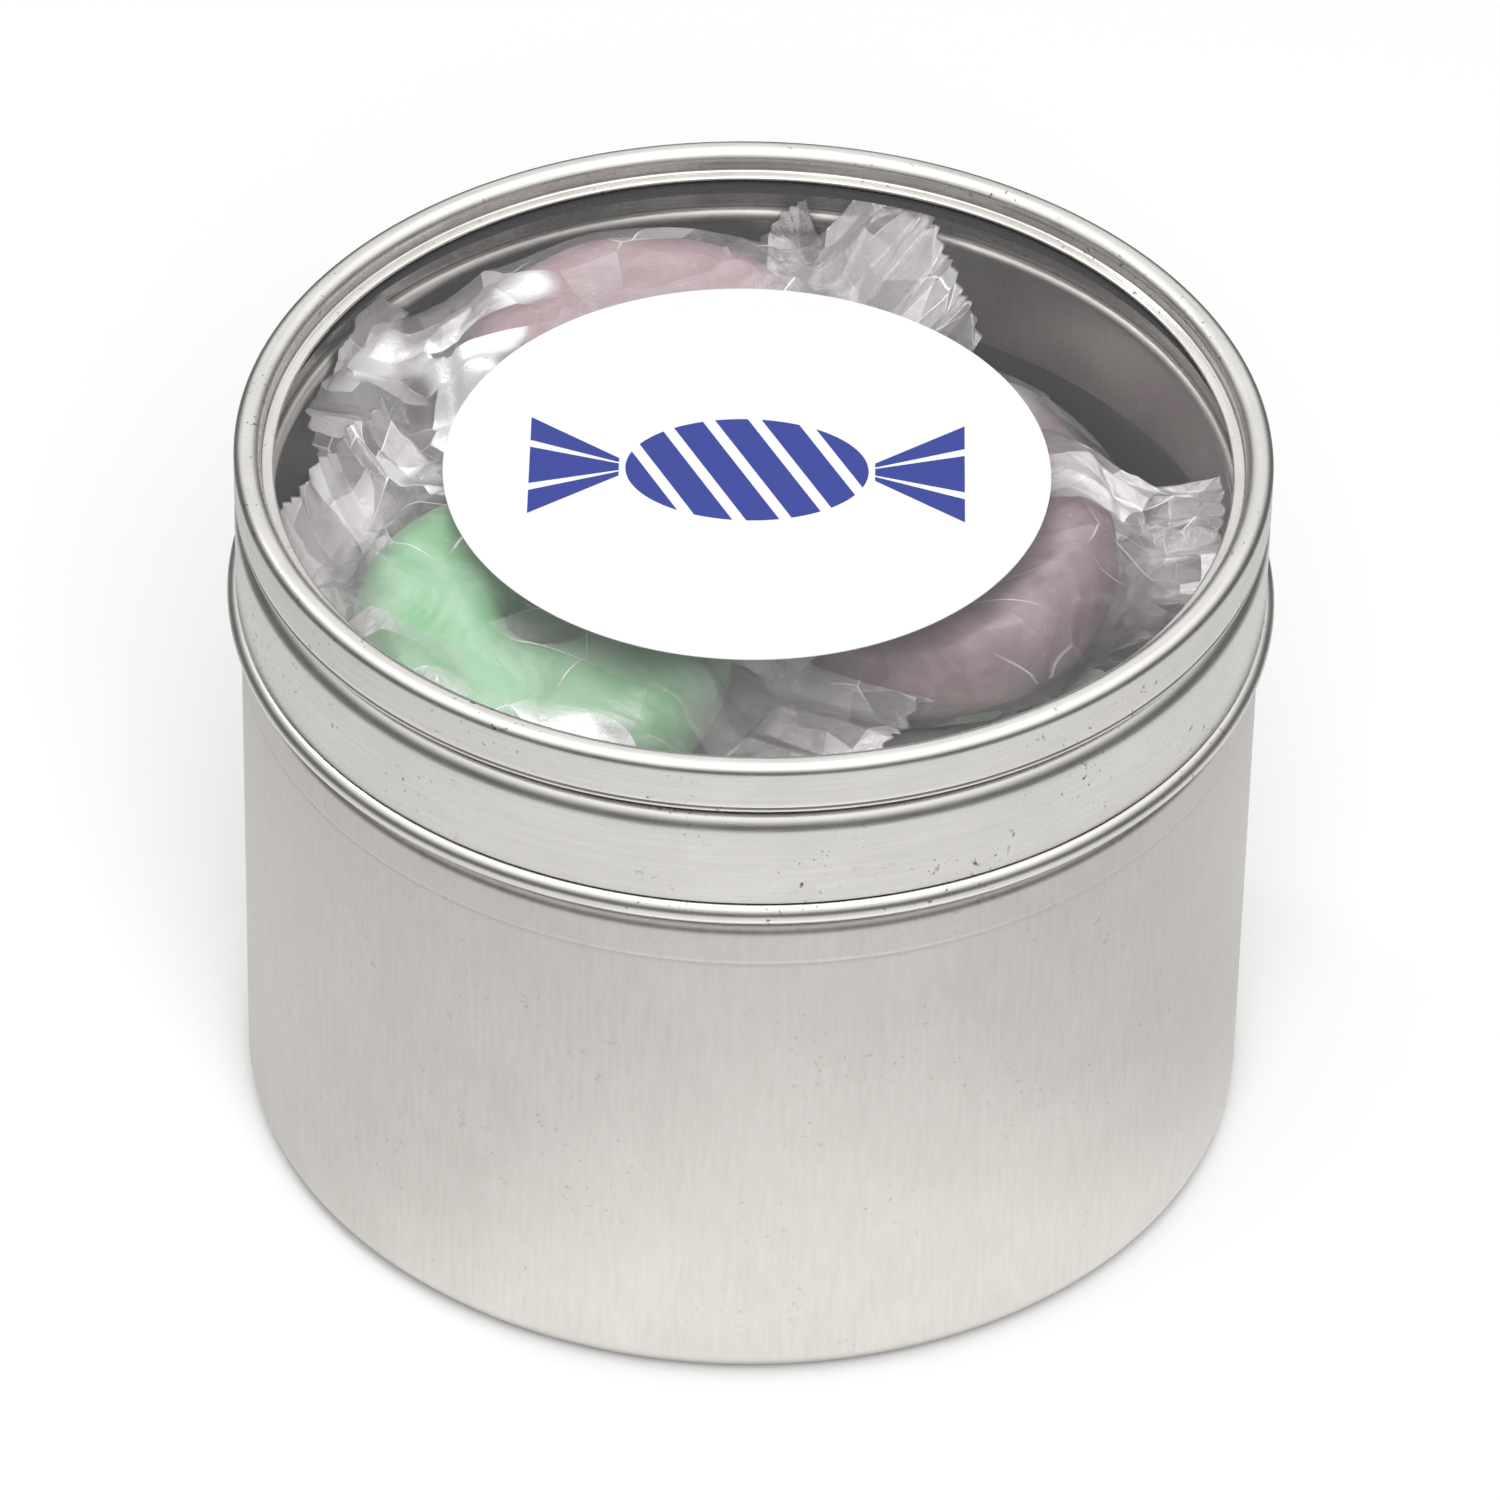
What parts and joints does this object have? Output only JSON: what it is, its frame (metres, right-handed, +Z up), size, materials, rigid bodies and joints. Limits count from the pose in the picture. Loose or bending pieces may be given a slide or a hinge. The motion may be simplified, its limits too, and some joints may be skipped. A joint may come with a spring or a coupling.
{
  "type": "window lid tin",
  "caption": "Round tinplate tin with a slip-on lid that has a clear window, filled with film-wrapped ring sweets.",
  "frame": {"origin": "middle of the foot that the tin stands on", "axes": "+Z is up along the tin's axis, -Y faces the viewer and +X is the picture's right"},
  "size_m": [0.066, 0.066, 0.0495],
  "materials": {
    "tin": "satin",
    "lid": "satin",
    "window": "clear",
    "label": "coated",
    "green_sweet": "translucent",
    "red_sweet": "translucent",
    "film": "clear"
  },
  "bodies": {
    "tin": {"tin_body": "tin", "sweet_01": "green_sweet", "sweet_02": "red_sweet", "sweet_03": "green_sweet", "sweet_04": "red_sweet", "sweet_05": "green_sweet", "sweet_06": "red_sweet", "sweet_07": "green_sweet", "sweet_08": "red_sweet", "sweet_09": "green_sweet", "sweet_10": "green_sweet", "sweet_11": "red_sweet", "sweet_12": "red_sweet", "sweet_13": "green_sweet", "sweet_14": "red_sweet", "sweet_15": "red_sweet", "wrapper_01": "film", "wrapper_02": "film", "wrapper_03": "film", "wrapper_04": "film", "wrapper_05": "film", "wrapper_06": "film", "wrapper_07": "film", "wrapper_08": "film", "wrapper_09": "film", "wrapper_10": "film", "wrapper_11": "film", "wrapper_12": "film", "wrapper_13": "film", "wrapper_14": "film", "wrapper_15": "film"},
    "lid": {"lid_ring": "lid", "window_pane": "window", "label": "label"}
  },
  "joints": [
    {"name": "lid_lift", "type": "slide", "parent": "tin", "child": "lid", "axis": [0, 0, 1], "range_m": [0, 0.04]}
  ]
}
